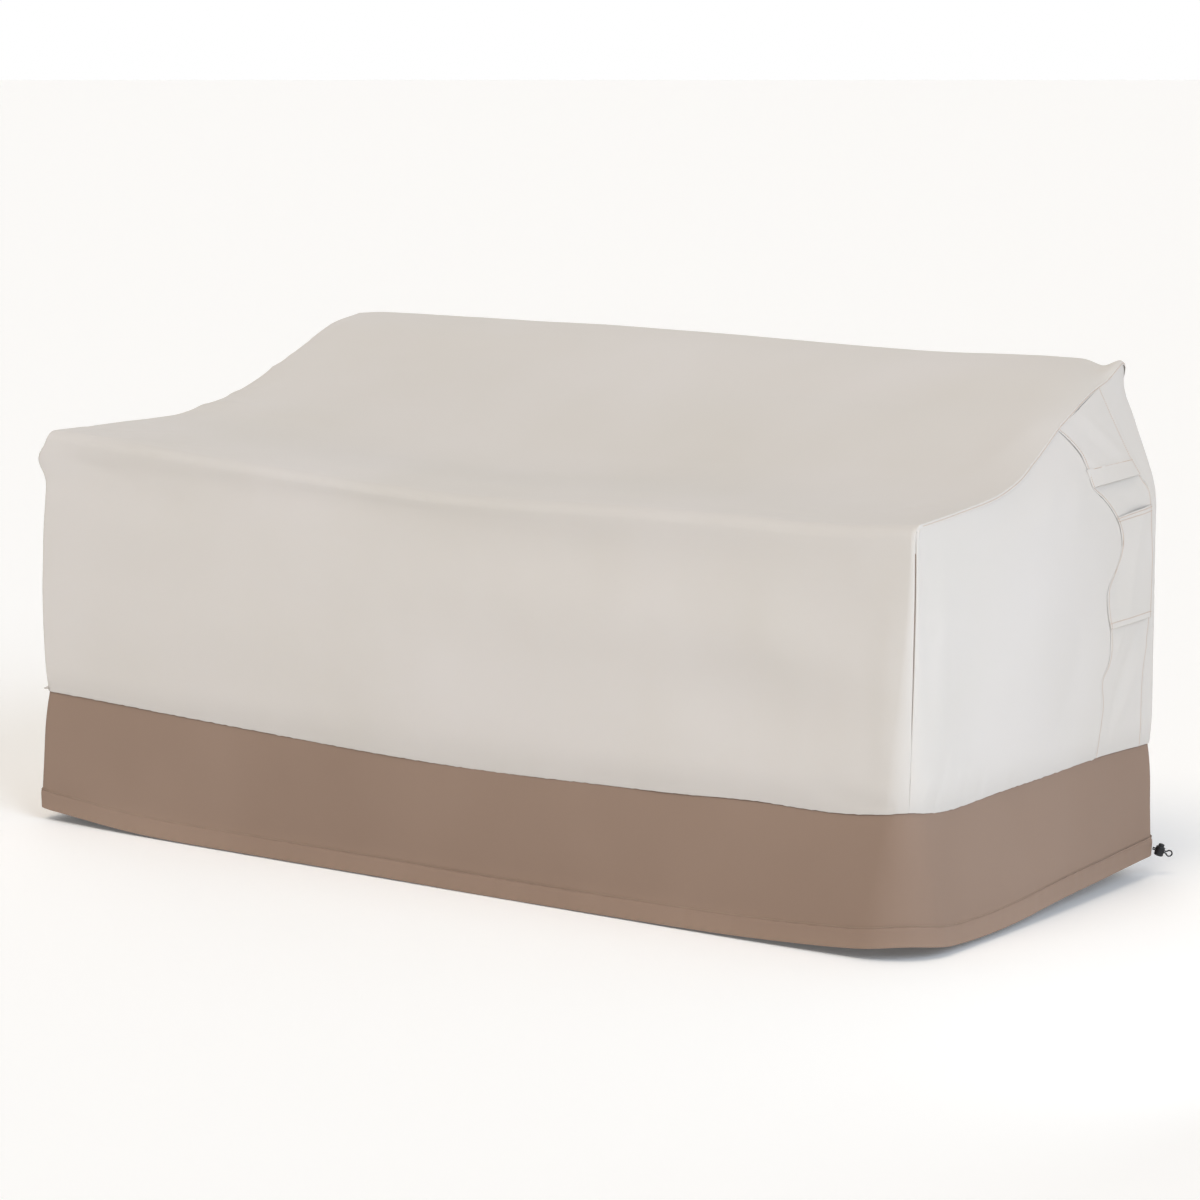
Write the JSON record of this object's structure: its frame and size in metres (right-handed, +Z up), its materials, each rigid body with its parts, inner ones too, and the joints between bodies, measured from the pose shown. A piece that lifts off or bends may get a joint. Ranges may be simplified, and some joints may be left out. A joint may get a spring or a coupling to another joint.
{
  "type": "bench cover",
  "caption": "Fitted cover of coated cloth for an outdoor bench, with a darker band round its foot, side vents and a drawcord with a spring lock in the hem.",
  "frame": {"origin": "underside of the cloth at the middle of the ridge, where the bench's back rail carries the cover", "axes": "+Z up, +X to the right as one faces the front of the bench, +Y from the front to the back"},
  "size_m": [1.6787, 0.7251, 0.7871],
  "materials": {
    "cream_cloth": "coated polyester cloth, matt with a faint sheen",
    "taupe_cloth": "coated polyester cloth, matt with a faint sheen",
    "black_cord": "braided cord, matt",
    "black_plastic": "moulded plastic, half matt"
  },
  "bodies": {
    "cover": {"top_front_panel": "cream_cloth", "back_panel": "cream_cloth", "side_panel_right": "cream_cloth", "side_panel_left": "cream_cloth", "vent_strip_right": "cream_cloth", "vent_strip_left": "cream_cloth", "vent_hood_right": "cream_cloth", "vent_hood_left": "cream_cloth", "lower_flap_right": "cream_cloth", "lower_flap_left": "cream_cloth", "skirt_band": "taupe_cloth", "drawcord": "black_cord", "lock_barrel": "black_plastic"},
    "plunger": {"lock_plunger": "black_plastic"}
  },
  "joints": [
    {"name": "lock_press", "type": "slide", "parent": "cover", "child": "plunger", "axis": [-0.25, -0.1816, -0.9511], "range_m": [0, 0.003], "stiffness_N_per_m": 400, "springref_m": -0.003}
  ]
}
